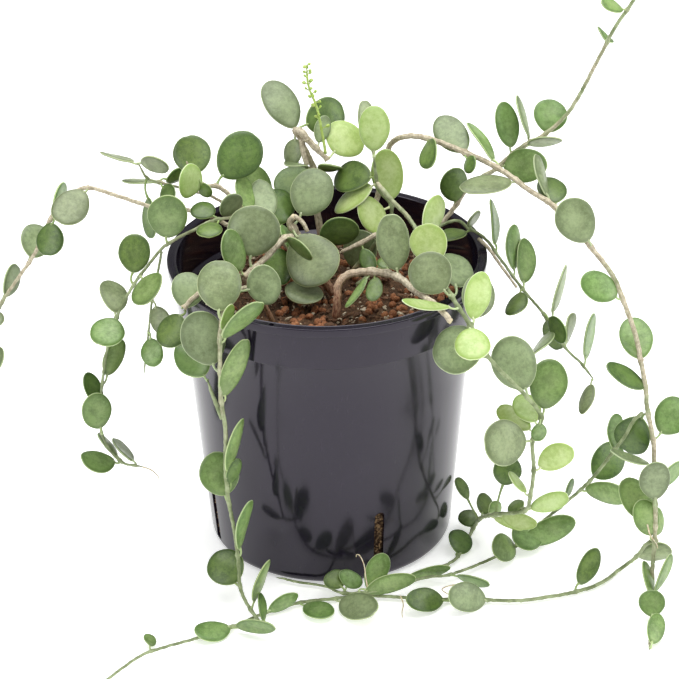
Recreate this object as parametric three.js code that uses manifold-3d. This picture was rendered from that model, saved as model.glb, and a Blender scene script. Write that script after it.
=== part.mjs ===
// A silver dollar vine in a round nursery pot: trailing stems with thick round leaves, rooted in bark soil.
// Millimetres, +Z up. The origin is the middle of the pot's underside, on the surface that it stands on,
// and -Y is the front.
import * as THREE from "three";
import { mergeVertices } from "three/addons/utils/BufferGeometryUtils.js";
import Module from "manifold-3d";

const wasm = await Module();
wasm.setup();

// Driving dimensions of the pot.
const RIM_RADIUS = 100;
const POT_HEIGHT = 195;
const WALL = 1.6;
const LIP_HEIGHT = 5.5;
const LIP_WIDTH = 6;
const BAND_HEIGHT = 30;
const BAND_RADIUS = RIM_RADIUS - 4.8;
const BODY_TOP_RADIUS = BAND_RADIUS - 3.2;
const BODY_FOOT_RADIUS = 78;
const FOOT_CORNER = 6;
const FLOOR_THICKNESS = 2.4;
const ROUND_STEPS = 40;

const SLOT_COUNT = 4;
const SLOT_WIDTH = 6.5;
const SLOT_TOP = 52;
const FIRST_SLOT_ANGLE = -68;
const HANGER_HOLE_COUNT = 3;
const HANGER_HOLE_RADIUS = 1.6;
const FIRST_HANGER_ANGLE = 10;

const SOIL_DEPTH_BELOW_RIM = 30;
const SOIL_TOP = POT_HEIGHT - SOIL_DEPTH_BELOW_RIM;
const GAP = 0.3;

// Driving dimensions of the plant.
const STEM_SIDES = 5;
const STEM_STEP = 15;
const PETIOLE_LENGTH = 4;
const PETIOLE_WIDTH = 1.5;
const LEAF_THICKNESS = 2.2;
const SURFACE_CLEARANCE = 1.5;
const SETTLE_PASSES = 6;
const SEPARATE_LEAF_BREADTH = 23;

// Leaves turn their faces to the light, which comes from the front and above.
const LIGHT = new THREE.Vector3(0, -0.88, 0.48);
const UP = new THREE.Vector3(0, 0, 1);

// A blade's outline: how far along it each section lies, its share of the full breadth, and of the thickness.
const BROAD_BLADE = {
  sections: [[0, 0.26, 0.7], [0.2, 0.76, 1], [0.52, 1, 1], [0.82, 0.76, 1], [1, 0.24, 0.5]],
  across: [1, 0.5, -0.5, -1, -0.5, 0.5],
  through: [0, 1, 1, 0, -1, -1],
};
const SMALL_BLADE = {
  sections: [[0, 0.26, 0.7], [0.35, 1, 1], [0.75, 0.9, 1], [1, 0.24, 0.5]],
  across: [1, 0, -1, 0],
  through: [0, 1, 0, -1],
};

const COLOURS = {
  pot: 0x26242a,
  soil: 0x3b261c,
  stem: 0x9da07a,
  old: 0x8d9f82,
  mid: 0x809a5c,
  deep: 0x52693a,
  lime: 0xb2d074,
};

// The vines. A route is the line of a stem's middle from its root to its tip.
// A leaf is [node, reach, breadth, turn, tone, petiole]: node is its place on the route, in route points
// from the root, reach goes from the node to the leaf's tip, turn is how many degrees the face is turned
// away from the light, about the midrib, and petiole is the length of its stalk where that isn't usual.
const VINES = {
  left_high: {
    radius: 1.7,
    route: [
      [-12, 12, 168], [-69, 8, 217], [-106, 8, 225], [-128, 8, 233], [-151, 6, 240], [-170, 2, 223],
      [-182, 0, 199], [-196, -3, 179], [-206, -5, 164], [-215, -8, 142], [-220, -10, 120],
    ],
    leaves: [
      [5.1, [9, 24, 12], 20, 77, "mid"],
      [3.85, [-17, -24, -12], 22, 8, "old", 3],
      [6.3, [6, 24, 14], 21, 20, "old"],
      [5, [-3, -13, -21], 19, 20, "deep"],
      [7.8, [9, 20, 15], 18, 62, "old"],
      [8, [-8, -21, -6], 18, 30, "old"],
      [9, [-9, 24, 3], 18, 30, "old"],
      [9.2, [10, -22, -5], 19, 20, "old"],
      [10, [-4, -14, -22], 18, 10, "mid"],
    ],
  },
  left_back: {
    radius: 1.4,
    route: [[-20, 30, 168], [-64, 36, 213], [-86, 34, 224], [-104, 32, 231], [-112, 30, 235], [-117, 28, 246]],
    leaves: [
      [5, [-24, 15, 1], 18, 80, "old"],
      [5, [19, -9, 3], 18, 58, "old", 2],
      [3, [-24, 15, -5], 18, 78, "old"],
      [3, [18, 12, 1], 13, 55, "deep"],
      [3, [8, -17, -6], 14, 30, "deep"],
      [4, [2, -17, -34], 16, 55, "deep", 12],
    ],
  },
  left_drop: {
    radius: 1.6,
    route: [
      [-34, 27, 168], [-44, 1, 218], [-67, -8, 224], [-84, -14, 219], [-99, -18, 212], [-109, -22, 202],
      [-122, -26, 185], [-133, -28, 162], [-140, -30, 135], [-144, -33, 103], [-143, -35, 85], [-133, -37, 69],
      [-119, -38, 65],
    ],
    leaves: [
      [3.9, [2, -2, 34], 25, 0, "mid", 2],
      [2, [-15, 11, 5], 17, 40, "deep"],
      [2, [-8, -20, -2], 16, 30, "deep"],
      [5.8, [1, 16, 27], 20, 5, "deep", 7],
      [5.5, [9, -22, -5], 25, 15, "mid", 1],
      [6.8, [-5, 27, 12], 19, 32, "old"],
      [6.8, [-10, -19, -9], 22, 15, "mid", 1],
      [8.4, [13, 14, 24], 16, 45, "mid", 6],
      [9, [-8, 19, 18], 15, 48, "deep"],
      [9.8, [-4, -4, 31], 20, 20, "mid"],
      [11, [-14, 15, 12], 16, 80, "old"],
      [11, [-23, -15, 10], 18, 42, "mid"],
      [11.7, [-14, 18, 10], 16, 74, "old"],
    ],
  },
  left_thread: {
    radius: 1,
    route: [[-102, -17, 207], [-105, -19, 192], [-109, -21, 175], [-112, -23, 154], [-116, -25, 125]],
    leaves: [
      [2, [9, -13, -17], 14, 20, "old"],
      [3, [4, -14, -17], 15, 15, "mid"],
    ],
  },
  left_upper: {
    radius: 1.9,
    route: [
      [-6, 22, 168], [-41, 20, 208], [-54, 18, 221], [-62, 16, 231], [-68, 15, 236], [-76, 14, 237],
      [-82, 12, 247], [-86, 11, 255],
    ],
    leaves: [
      [4, [25, 20, 25], 28, 10, "deep"],
      [5, [-14, -14, 12], 22, 0, "lime", 2],
      [5.6, [8, -4, -11], 10, 40, "deep"],
      [5.5, [-7, 18, 22], 24, 5, "deep", 2],
      [2, [17, 32, 6], 28, 20, "mid"],
    ],
  },
  left_middle: {
    radius: 1.8,
    route: [[0, 8, 168], [-24, 12, 196], [-35, 10, 212], [-48, 8, 218], [-55, 6, 219]],
    leaves: [
      [2, [-7, 22, 20], 17, 15, "old"],
      [1.6, [3, 24, 17], 20, 25, "deep"],
      [3, [-4, 22, 19], 16, 45, "mid"],
      [4, [-7, -13, 20], 17, 10, "old"],
    ],
  },
  left_branch: {
    radius: 2.2,
    route: [[-22, 1, 207], [-28, -10, 210], [-38, -24, 205], [-51, -36, 199]],
    leaves: [
      [3, [-9.8, 1, 31], 19, 40, "mid"],
      [2.6, [3, 15, 36], 33, 5, "old", 5],
      [0.7, [17, -22, -2], 14, 62, "mid", 2],
    ],
  },
  front_left: {
    radius: 1.8,
    route: [
      [-34, -38, 168], [-42, -48, 192], [-51, -62, 204], [-61, -78, 201], [-64, -91, 188], [-65, -93, 164],
      [-65, -91, 142], [-63, -91, 121], [-64, -91, 98], [-63, -92, 75], [-60, -94, 54], [-58, -98, 36],
      [-57, -103, 17], [-53, -112, 10], [-42, -131, 4],
    ],
    leaves: [
      [3.5, [-1, 21, 29], 27, 5, "old", 4],
      [2.3, [26, 3, 6], 25, 10, "old"],
      [4.2, [25, -9, 32], 20, 62, "mid"],
      [4, [7, -2, 22], 9, 50, "lime"],
      [5, [-15, 9, 36], 27, 5, "old"],
      [6, [16, 1, 43], 17, 42, "mid"],
      [9.2, [-9, 13, 29], 25, 5, "mid"],
      [8.4, [11, 5, 39], 16, 68, "mid"],
      [8.8, [7, 5, 20], 12, 50, "deep"],
      [11, [9, 7, 36], 17, 70, "mid"],
      [12, [-15, 22, 11], 24, 5, "deep", 2],
      [13.3, [12, 6, 33], 16, 72, "mid", 6],
      [14, [-2, 18, 14], 9, 60, "deep"],
    ],
  },
  front_shoot: {
    radius: 1.4,
    route: [[-65, -87, 128], [-69, -87, 140], [-73, -86, 154]],
    leaves: [[2, [-17, 26, 13], 21, 10, "mid"]],
  },
  front_stub: {
    radius: 2,
    route: [[-40, -14, 168], [-54, -34, 198], [-70, -54, 202], [-80, -64, 200], [-87, -68, 194]],
    leaves: [
      [4, [5, 16, 16], 21, 10, "old", 0.5],
      [4, [-13, -12, -19], 21, 25, "deep"],
    ],
  },
  trunk_top: {
    radius: 2.4,
    route: [[0, 30, 168], [-7, 44, 211], [-8, 50, 231], [-15, 52, 248], [-18, 52, 257]],
    leaves: [
      [3.6, [-19, 24, 26], 24, 28, "old", 3],
      [4, [30, 20, 4], 25, 10, "deep"],
      [3.7, [-6, -5, -20], 14, 30, "old"],
      [1.9, [16.5, -8, 6], 18, 78, "mid"],
      [1, [-21, 25, 10], 27, 15, "mid"],
      [2, [-17.6, -8, 6], 18, 78, "old"],
    ],
  },
  top_arm: {
    radius: 2.2,
    route: [[-13, 47, 254], [-6, 45, 247], [1, 43, 240]],
    leaves: [
      [2, [18, 18, 15], 27, 0, "lime", 3],
      [1, [7, 14, 16], 11, 20, "old"],
    ],
  },
  flower_spike: {
    radius: 0.9,
    route: [[0, 41, 245], [-2, 43, 258], [-5, 46, 274], [-10, 49, 288], [-11, 51, 301]],
    leaves: [],
  },
  trunk_middle: {
    radius: 2.8,
    route: [[4, -2, 168], [-10, 8, 186], [-17, 10, 202], [-23, 12, 211], [-20, 12, 216]],
    leaves: [
      [2.7, [20, 25, 27], 27, 0, "old", 6],
      [2.5, [20, -30, -22], 34, 0, "old"],
      [1, [-19, 3, 24], 17, 62, "mid"],
      [0.4, [-20, -23, -2], 26, 40, "old"],
      [1.6, [34, -4, 16], 23, 40, "deep", 8],
      [1, [-30, -14, 3], 24, 10, "deep", 9],
    ],
  },
  lime_stem: {
    radius: 1.6,
    route: [[14, 24, 168], [36, 30, 195], [41, 32, 212], [33, 30, 225], [30, 30, 247]],
    leaves: [
      [2, [-4, 15, 33], 21, 10, "lime"],
      [4, [1, 17, 28], 20, 5, "lime"],
      [4, [-5.4, 26, 28], 13, 20, "old"],
      [2, [-20, -14, -3], 26, 0, "lime", 3],
      [3.2, [-27, 4, -20], 22, 55, "lime"],
      [3.4, [-26, 20, -9], 22, 20, "deep"],
      [1, [-24, 7, -24], 25, 15, "old", 7],
    ],
  },
  right_long: {
    radius: 1.7,
    route: [
      [32, 24, 232], [41, 5, 229], [53, -15, 223], [65, -45, 209], [75, -66, 199],
      [86, -78, 185], [96, -87, 169], [109, -85, 152], [121, -80, 136], [130, -76, 119], [125, -78, 104],
      [126, -80, 84], [124, -82, 67], [121, -79, 54], [104, -62, 41], [96, -38, 23], [92, -22, 5], [81, -51, 3],
      [69, -64, 3], [43, -78, 3], [25, -89, 3],
    ],
    leaves: [
      [2.4, [14, 26, 16], 19, 45, "lime"],
      [3.2, [-9, 16, 25], 23, 0, "lime"],
      [4.4, [-35, -32, 22], 10, 55, "lime", 9],
      [4, [-21, 12, 21], 27, 5, "old"],
      [4, [4, 36, 10], 24, 20, "old", 8],
      [5, [9, 22, 25], 17, 15, "lime"],
      [5, [9, 30, 18], 22, 15, "old", 6],
      [5, [1, -27, -9], 22, 0, "lime", 2],
      [6, [-32, 11, 3], 31, 10, "old", 2],
      [8, [-14, 14, 34], 28, 5, "old", 3],
      [9, [7, 17, 32], 24, 5, "mid"],
      [9.4, [-11, 24, 9], 17, 10, "lime"],
      [9.7, [-22, 19, 8], 14, 20, "lime"],
      [9, [-3, -15, -8], 10, 20, "mid"],
      [10, [-31, -17, 8], 29, 0, "old", 2],
      [11, [23, -6, 19], 17, 10, "lime"],
      [12, [-14, -4, 19], 9, 55, "lime"],
      [14, [10, 18, 32], 20, 20, "deep", 19],
      [13, [27, -2, 12], 13, 20, "lime"],
      [13, [-8, 19, -7], 12, 20, "mid"],
      [14, [26, -5, -5], 12, 30, "lime"],
      [14.4, [22, -6, -7], 9, 50, "lime"],
      [15, [5, 21, 5], 13, 20, "deep"],
      [14.6, [11, 16, -2], 11, 20, "mid"],
      [15.2, [-14, 15, 23], 11, 50, "deep", 15],
      [16, [-5, 15, 5], 13, 10, "deep", 2],
      [17, [3, 22, 4], 17, 15, "deep", 2],
      [19, [32, 2, 6], 10, 40, "mid"],
    ],
  },
  right_arch: {
    radius: 2.6,
    route: [
      [5, -32, 168], [6, -31, 178], [7, -26, 187], [14, -20, 191], [30, -25, 195], [43, -40, 199],
      [53, -58, 199], [66, -77, 198], [74, -88, 193],
    ],
    leaves: [
      [5, [-4, 17, 35], 21, 5, "old"],
      [4, [-2, -20, -10], 11, 20, "deep"],
      [3.8, [-16, -15, -17], 8, 60, "mid"],
      [4.5, [-2, 16, 3], 10, 10, "deep"],
    ],
  },
  inner_stub: {
    radius: 1.6,
    route: [[31, 3, 207], [21, 3, 201], [9, 1, 196]],
    leaves: [[1, [7, -13, -14], 11, 20, "deep"]],
  },
  right_back: {
    radius: 1.8,
    route: [
      [24, 30, 168], [71, 44, 192], [91, 50, 217], [107, 50, 228], [118, 50, 239], [129, 50, 247], [138, 50, 252],
      [154, 50, 269], [170, 50, 302], [180, 50, 324], [191, 50, 342], [197, 50, 356],
    ],
    leaves: [
      [1.5, [-3, -4, 27], 19, 15, "deep", 2],
      [4, [-6, 14, 30], 17, 25, "mid"],
      [5, [-8, 14, 26], 16, 74, "old", 2],
      [3.3, [28, -18, 7], 22, 0, "mid", 2],
      [4.7, [22, -12, 9], 13, 66, "old", 2],
      [6.05, [6, 16, 16], 22, 5, "mid", 1],
      [8.5, [-1, 21, -2], 14, 50, "mid"],
      [9.6, [-17, -11, 9], 12, 40, "mid"],
      [10.6, [-6, 21, -4], 13, 30, "mid"],
      [11, [6, 19, 3], 12, 20, "lime"],
    ],
  },
  right_sweep: {
    radius: 1.8,
    route: [
      [20, 36, 168], [37, 62, 222], [42, 52, 247], [59, 32, 260], [87, 20, 254], [108, 10, 247], [126, 0, 237],
      [141, -10, 230], [160, -25, 213], [175, -36, 196], [181, -42, 183], [188, -50, 165], [192, -57, 148],
      [195, -63, 132], [196, -68, 120], [200, -72, 100], [201, -76, 84], [202, -82, 59], [202, -86, 35],
      [201, -90, 14], [201, -96, 4], [197, -130, 3], [193, -158, 3],
    ],
    leaves: [
      [3.2, [1, -25, -8], 17, 50, "deep", 2],
      [4, [-16, 28, 12], 20, 5, "old", 1],
      [4.9, [-17, 26, 19], 18, 68, "mid", 5],
      [4, [4, -14, -6], 12, 45, "deep"],
      [5.5, [-35, -13, 0], 22, 55, "old", 3],
      [7, [-2, 29, 7], 19, 10, "deep"],
      [6.7, [-5, 26, 20], 16, 64, "old"],
      [8.1, [-17, 4, 29.5], 25, 5, "old", 3],
      [10, [-26, -1, 15], 19, 15, "mid"],
      [12, [-4, 24, 17], 21, 5, "mid", 0.5],
      [13, [-25, -2, 17], 16, 45, "deep", 0.5],
      [15, [19, 18, 18], 23, 10, "mid"],
      [14.2, [-12, 11, -33], 24, 15, "deep"],
      [16, [-28, -6, 14], 16, 74, "old"],
      [17, [-2, -2, 32], 20, 5, "old"],
      [16.6, [19, 16, 8], 16, 50, "mid"],
      [17.6, [-19, 17, 25], 20, 15, "mid"],
      [18, [-10, 5, 27], 17, 10, "mid"],
      [18, [4, 20, 12], 14, 40, "mid"],
      [20.2, [12, 12, 24], 13, 60, "mid", 3],
      [20.4, [-3, 24, 16], 13, 58, "mid"],
      [20.9, [1, 11, 15], 17, 5, "mid", 2],
      [22, [8, 23, 10], 13, 20, "mid"],
    ],
  },
  sweep_branch: {
    radius: 1.4,
    route: [
      [193, -70, 118], [188, -69, 112], [183, -66, 99], [176, -60, 83], [164, -48, 56], [147, -34, 28],
      [135, -26, 11], [119, -41, 4], [99, -57, 3], [75, -77, 6], [59, -83, 8], [33, -96, 8], [8, -98, 7],
      [-4, -84, 3], [-20, -79, 3], [-35, -73, 3],
    ],
    leaves: [
      [3, [6, 22, 16], 14, 38, "mid"],
      [4, [21, 21, 13], 22, 10, "deep"],
      [4.3, [29, -19, 6], 18, 38, "mid", 3],
      [5, [10, 20, 9], 8, 55, "deep", 8],
      [7, [38, 6, 15], 18, 20, "mid"],
      [6, [-17, -22, -2], 22, 5, "mid", 2],
      [7, [-17, -22, 4], 19, 15, "mid", 2],
      [9, [24, -16, 3], 12, 58, "mid", 5],
      [11.6, [36, 4, 8], 14, 30, "mid"],
      [12, [-9, 10, 10], 16, 25, "deep"],
      [12, [6, 11, 9], 17, 15, "mid"],
    ],
  },
  floor_run: {
    radius: 1.4,
    route: [
      [200, -83, 33], [197, -79, 27], [193, -70, 13], [183, -69, 3], [169, -85, 3], [153, -94, 3], [137, -99, 3],
      [117, -103, 3], [97, -102, 3], [73, -101, 3], [46, -98, 3], [21, -95, 3], [2, -98, 3], [-20, -102, 3],
      [-43, -114, 3], [-62, -128, 3], [-84, -140, 3], [-105, -150, 3], [-117, -158, 3], [-134, -180, 3],
      [-145, -198, 3], [-152, -217, 3],
    ],
    leaves: [
      [2, [22, -2, 6], 19, 48, "old", 1],
      [5, [14, 14, 23], 14, 20, "deep", 5],
      [8, [-25, -14, 4], 19, 10, "old", 1],
      [9, [-27, -14, 4], 16, 20, "deep"],
      [12, [25, -27, 3], 21, -35, "old", 5],
      [11, [13, 14, 22], 15, 15, "mid"],
      [13, [20, -18, 2], 17, -50, "mid"],
      [14, [22, 8, 5], 12, 40, "mid"],
      [15, [-22, -12, 3], 17, 45, "mid", 1],
      [15, [27, -16, 4], 16, 50, "mid"],
      [17.4, [-2, 14, 3], 9, 40, "mid"],
      [20, [10, -17, 5], 11, 30, "mid"],
      [21, [-1, -22, 3], 12, 30, "mid"],
    ],
  },
  right_pale: {
    radius: 1.1,
    route: [[95, 9, 200], [101, 3, 196], [108, -4, 188], [118, -12, 176]],
    leaves: [],
  },
  right_mid: {
    radius: 1.4,
    route: [
      [18, 10, 168], [74, 22, 204], [90, 18, 202], [100, 11, 198], [108, 6, 188], [122, -4, 171],
      [136, -12, 156], [148, -20, 138], [158, -25, 129], [166, -28, 119],
    ],
    leaves: [
      [3.7, [-2, 19, 27], 18, 73, "deep"],
      [4.6, [3, 24, 24], 17, 52, "mid"],
      [5, [4, 28, 21], 18, 42, "mid"],
      [5, [-8, -26, -5], 15, 42, "deep"],
      [6.2, [12, 24, 28], 18, 74, "old", 6],
      [6, [12, -23, -5], 15, 48, "deep"],
      [6, [10, 2, -26], 13, 20, "deep"],
      [7, [9, 24, 9], 16, 64, "old"],
      [6.4, [-14, -26, -4], 16, 74, "old"],
      [8.2, [9, 28, 22], 17, 66, "mid", 5],
      [9, [-8, -20, -14], 12, 52, "old"],
      [2, [3, -12, 18], 11, 55, "old"],
      [2, [-19, -14, 0], 15, 55, "deep"],
    ],
  },
};

const radians = THREE.MathUtils.degToRad;
const plant = new THREE.Group();

function material(colour, roughness) {
  return new THREE.MeshStandardMaterial({ color: colour, roughness, metalness: 0 });
}

function addMesh(name, geometry, colour, roughness) {
  const mesh = new THREE.Mesh(geometry, material(colour, roughness));
  mesh.name = name;
  plant.add(mesh);
}

// A geometry as a manifold solid, and back.
function solidOf(geometry) {
  const bare = new THREE.BufferGeometry().setAttribute("position", geometry.getAttribute("position"));
  if (geometry.index) bare.setIndex(geometry.index);
  const merged = mergeVertices(bare, 1e-3);
  return new wasm.Manifold(
    new wasm.Mesh({
      numProp: 3,
      vertProperties: merged.getAttribute("position").array,
      triVerts: new Uint32Array(merged.index.array),
    }),
  );
}

function geometryOf(solid) {
  const mesh = solid.getMesh();
  return new THREE.BufferGeometry()
    .setAttribute("position", new THREE.BufferAttribute(mesh.vertProperties, 3))
    .setIndex(new THREE.BufferAttribute(mesh.triVerts, 1));
}

// The pot: a thin-walled tub with a band under its lip and a rounded foot, slotted for drainage.
function cornerArc(centreRadius, centreHeight, cornerRadius, steps) {
  return Array.from({ length: steps + 1 }, (_, i) => {
    const angle = (i / steps) * (Math.PI / 2);
    return [
      centreRadius + cornerRadius * Math.sin(angle),
      centreHeight - cornerRadius * Math.cos(angle),
    ];
  });
}

function potGeometry() {
  const bandFoot = POT_HEIGHT - BAND_HEIGHT;
  const lipFoot = POT_HEIGHT - LIP_HEIGHT;
  const cornerSteps = 3;
  const profile = [
    [0, 0],
    ...cornerArc(BODY_FOOT_RADIUS - FOOT_CORNER, FOOT_CORNER, FOOT_CORNER, cornerSteps),
    [BODY_TOP_RADIUS, bandFoot],
    [BAND_RADIUS, bandFoot + 1],
    [BAND_RADIUS + 1, lipFoot],
    [RIM_RADIUS, lipFoot],
    [RIM_RADIUS, POT_HEIGHT],
    [RIM_RADIUS - LIP_WIDTH, POT_HEIGHT],
    [BAND_RADIUS - WALL, bandFoot + 1],
    [BODY_TOP_RADIUS - WALL, bandFoot - 1],
    ...cornerArc(BODY_FOOT_RADIUS - FOOT_CORNER - WALL, FOOT_CORNER + FLOOR_THICKNESS, FOOT_CORNER, cornerSteps)
      .reverse(),
    [0, FLOOR_THICKNESS],
  ];
  const lathe = new THREE.LatheGeometry(profile.map(([x, y]) => new THREE.Vector2(x, y)), ROUND_STEPS);
  lathe.rotateX(Math.PI / 2);
  return lathe;
}

// A drain slot runs up the wall from under the foot's corner and has a round top.
function slotCutter(angle) {
  const depth = 30;
  const half = SLOT_WIDTH / 2;
  const outline = new THREE.Shape();
  outline.moveTo(-half, FOOT_CORNER);
  outline.lineTo(half, FOOT_CORNER);
  outline.absarc(0, SLOT_TOP - half, half, 0, Math.PI);
  const cutter = new THREE.ExtrudeGeometry(outline, { depth, bevelEnabled: false, curveSegments: 4 });
  cutter.rotateX(Math.PI / 2);
  cutter.rotateZ(Math.PI / 2);
  cutter.translate(BODY_FOOT_RADIUS - depth / 2, 0, 0);
  return cutter.rotateZ(radians(angle));
}

function hangerHoleCutter(angle) {
  const hole = new THREE.CylinderGeometry(HANGER_HOLE_RADIUS, HANGER_HOLE_RADIUS, LIP_HEIGHT * 3, 8);
  hole.rotateX(Math.PI / 2);
  hole.translate(RIM_RADIUS - 2.4, 0, POT_HEIGHT);
  return hole.rotateZ(radians(angle));
}

function addPot() {
  let pot = solidOf(potGeometry());
  for (let i = 0; i < SLOT_COUNT; i++) {
    pot = pot.subtract(solidOf(slotCutter(FIRST_SLOT_ANGLE + (i * 360) / SLOT_COUNT)));
  }
  for (let i = 0; i < HANGER_HOLE_COUNT; i++) {
    pot = pot.subtract(solidOf(hangerHoleCutter(FIRST_HANGER_ANGLE + (i * 360) / HANGER_HOLE_COUNT)));
  }
  addMesh("pot", geometryOf(pot), COLOURS.pot, 0.25);
}

// The soil fills the pot up to a little under the rim.
function addSoil() {
  const foot = FOOT_CORNER + FLOOR_THICKNESS;
  const profile = [
    [0, FLOOR_THICKNESS + GAP],
    [BODY_FOOT_RADIUS - FOOT_CORNER - WALL - GAP, FLOOR_THICKNESS + GAP],
    [BODY_FOOT_RADIUS - WALL - 2 * GAP - 1, foot],
    [BODY_TOP_RADIUS - WALL - 2 * GAP, SOIL_TOP - 2],
    [BODY_TOP_RADIUS - WALL - 4, SOIL_TOP],
    [0, SOIL_TOP],
  ];
  const soil = new THREE.LatheGeometry(profile.map(([x, y]) => new THREE.Vector2(x, y)), ROUND_STEPS);
  soil.rotateX(Math.PI / 2);
  addMesh("soil", soil, COLOURS.soil, 0.95);
}

function curveOf(route) {
  return new THREE.CatmullRomCurve3(route.map((p) => new THREE.Vector3(...p)), false, "catmullrom", 0.5);
}

// A stem is a tube with a few flat sides along its route.
function stemGeometry(curve, radius) {
  const section = new THREE.Shape();
  for (let i = 0; i < STEM_SIDES; i++) {
    const angle = (i / STEM_SIDES) * 2 * Math.PI;
    const point = [radius * Math.cos(angle), radius * Math.sin(angle)];
    if (i === 0) section.moveTo(...point);
    else section.lineTo(...point);
  }
  const steps = Math.ceil(curve.getLength() / STEM_STEP + curve.points.length / 2);
  return new THREE.ExtrudeGeometry(section, { steps, extrudePath: curve, bevelEnabled: false });
}

// The stalk's start, the blade's base and tip, and the blade's face and side directions.
function leafFrame(curve, spans, radius, leaf, startsOutside) {
  const [node, reach, breadth, turn, , petiole = PETIOLE_LENGTH] = leaf;
  const at = curve.getPoint(node / spans);
  const along = curve.getTangent(node / spans);
  const reachVector = new THREE.Vector3(...reach);
  const out = reachVector.clone().addScaledVector(along, -reachVector.dot(along)).normalize();
  const start = at.clone().addScaledVector(out, startsOutside ? radius + GAP + PETIOLE_WIDTH / 2 : 0);
  const tip = at.clone().add(reachVector);
  for (let pass = 0; pass < SETTLE_PASSES; pass++) {
    const axis = tip.clone().sub(start).normalize();
    const base = start.clone().addScaledVector(axis, petiole);
    const face = LIGHT.clone().addScaledVector(axis, -LIGHT.dot(axis)).normalize();
    face.applyAxisAngle(axis, radians(turn));
    const side = face.clone().cross(axis);
    const middle = base.clone().lerp(tip, 0.5);
    const lowest = Math.min(
      middle.z - (Math.abs(side.z) * breadth) / 2,
      tip.z - (Math.abs(side.z) * breadth) / 8,
    );
    const lift = SURFACE_CLEARANCE + LEAF_THICKNESS / 2 - lowest;
    if (lift <= 0 || pass === SETTLE_PASSES - 1) return { start, base, tip, face, side, breadth };
    tip.addScaledVector(UP, lift * 1.5);
  }
}

// A closed skin over flat sections, each given by its middle, half breadth and half thickness.
function skin(sections, across, through, face, side) {
  const ringSides = across.length;
  const vertices = [];
  for (const [middle, halfBreadth, halfThickness] of sections) {
    for (let i = 0; i < ringSides; i++) {
      const point = middle.clone().addScaledVector(side, across[i] * halfBreadth);
      vertices.push(...point.addScaledVector(face, through[i] * halfThickness).toArray());
    }
  }
  const triangles = [];
  for (let ring = 0; ring + 1 < sections.length; ring++) {
    for (let i = 0; i < ringSides; i++) {
      const a = ring * ringSides + i;
      const b = ring * ringSides + ((i + 1) % ringSides);
      triangles.push(a, b, b + ringSides, a, b + ringSides, a + ringSides);
    }
  }
  const last = (sections.length - 1) * ringSides;
  for (let i = 1; i + 1 < ringSides; i++) {
    triangles.push(0, i + 1, i);
    triangles.push(last, last + i, last + i + 1);
  }
  return new THREE.BufferGeometry()
    .setAttribute("position", new THREE.BufferAttribute(new Float32Array(vertices), 3))
    .setIndex(triangles);
}

function leafGeometry(frame, blade) {
  const { start, base, tip, face, side, breadth } = frame;
  const sections = [[start, PETIOLE_WIDTH / 2, PETIOLE_WIDTH / 2]];
  for (const [along, breadthShare, thicknessShare] of blade.sections) {
    const middle = base.clone().lerp(tip, along);
    sections.push([middle, (breadthShare * breadth) / 2, (thicknessShare * LEAF_THICKNESS) / 2]);
  }
  return skin(sections, blade.across, blade.through, face, side);
}

// Broad leaves are pieces of their own, close to their stem. Small ones are one piece with it.
function addVine(name, { radius, route, leaves }) {
  const curve = curveOf(route);
  let stem = solidOf(stemGeometry(curve, radius));
  leaves.forEach((leaf, i) => {
    const separate = leaf[2] >= SEPARATE_LEAF_BREADTH;
    const frame = leafFrame(curve, route.length - 1, radius, leaf, separate);
    const geometry = leafGeometry(frame, separate ? BROAD_BLADE : SMALL_BLADE);
    if (separate) addMesh(`leaf_${name}_${i + 1}`, geometry, COLOURS[leaf[4]], 0.6);
    else stem = stem.add(solidOf(geometry));
  });
  addMesh(`vine_${name}`, geometryOf(stem), COLOURS.stem, 0.7);
}

addPot();
addSoil();
for (const [name, vine] of Object.entries(VINES)) {
  addVine(name, vine);
}

export default plant;
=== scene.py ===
"""The looks of a silver dollar vine in a glossy nursery pot, and the studio that it stands in.

Lengths in the tables are millimetres in the row frame, and MM turns them into metres.
"""

import math
from collections import namedtuple
from types import SimpleNamespace

import bmesh
import bpy
import numpy as np
from mathutils import Matrix, Vector


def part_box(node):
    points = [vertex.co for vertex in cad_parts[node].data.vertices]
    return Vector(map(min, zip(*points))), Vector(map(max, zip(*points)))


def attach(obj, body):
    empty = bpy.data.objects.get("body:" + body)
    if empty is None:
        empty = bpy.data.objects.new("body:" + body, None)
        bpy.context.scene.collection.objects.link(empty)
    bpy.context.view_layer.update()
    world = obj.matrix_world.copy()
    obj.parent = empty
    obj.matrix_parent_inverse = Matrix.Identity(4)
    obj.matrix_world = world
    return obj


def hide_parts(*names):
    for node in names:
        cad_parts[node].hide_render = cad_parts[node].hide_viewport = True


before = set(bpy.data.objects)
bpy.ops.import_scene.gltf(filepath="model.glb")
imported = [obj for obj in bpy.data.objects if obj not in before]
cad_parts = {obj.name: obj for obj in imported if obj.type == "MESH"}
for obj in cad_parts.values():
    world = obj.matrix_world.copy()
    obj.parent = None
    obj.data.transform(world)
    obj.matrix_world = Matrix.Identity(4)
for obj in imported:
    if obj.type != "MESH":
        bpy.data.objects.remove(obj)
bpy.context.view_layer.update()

MM = 0.001

# The camera: a long lens, from the front and above, slightly rolled.
CAMERA_TARGET = (0.00704, 0.0, 0.1343)
CAMERA_DISTANCE = 1.843
CAMERA_ELEVATION = 28.55
CAMERA_ROLL = -0.8
CAMERA_LENS = 154.1

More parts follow.
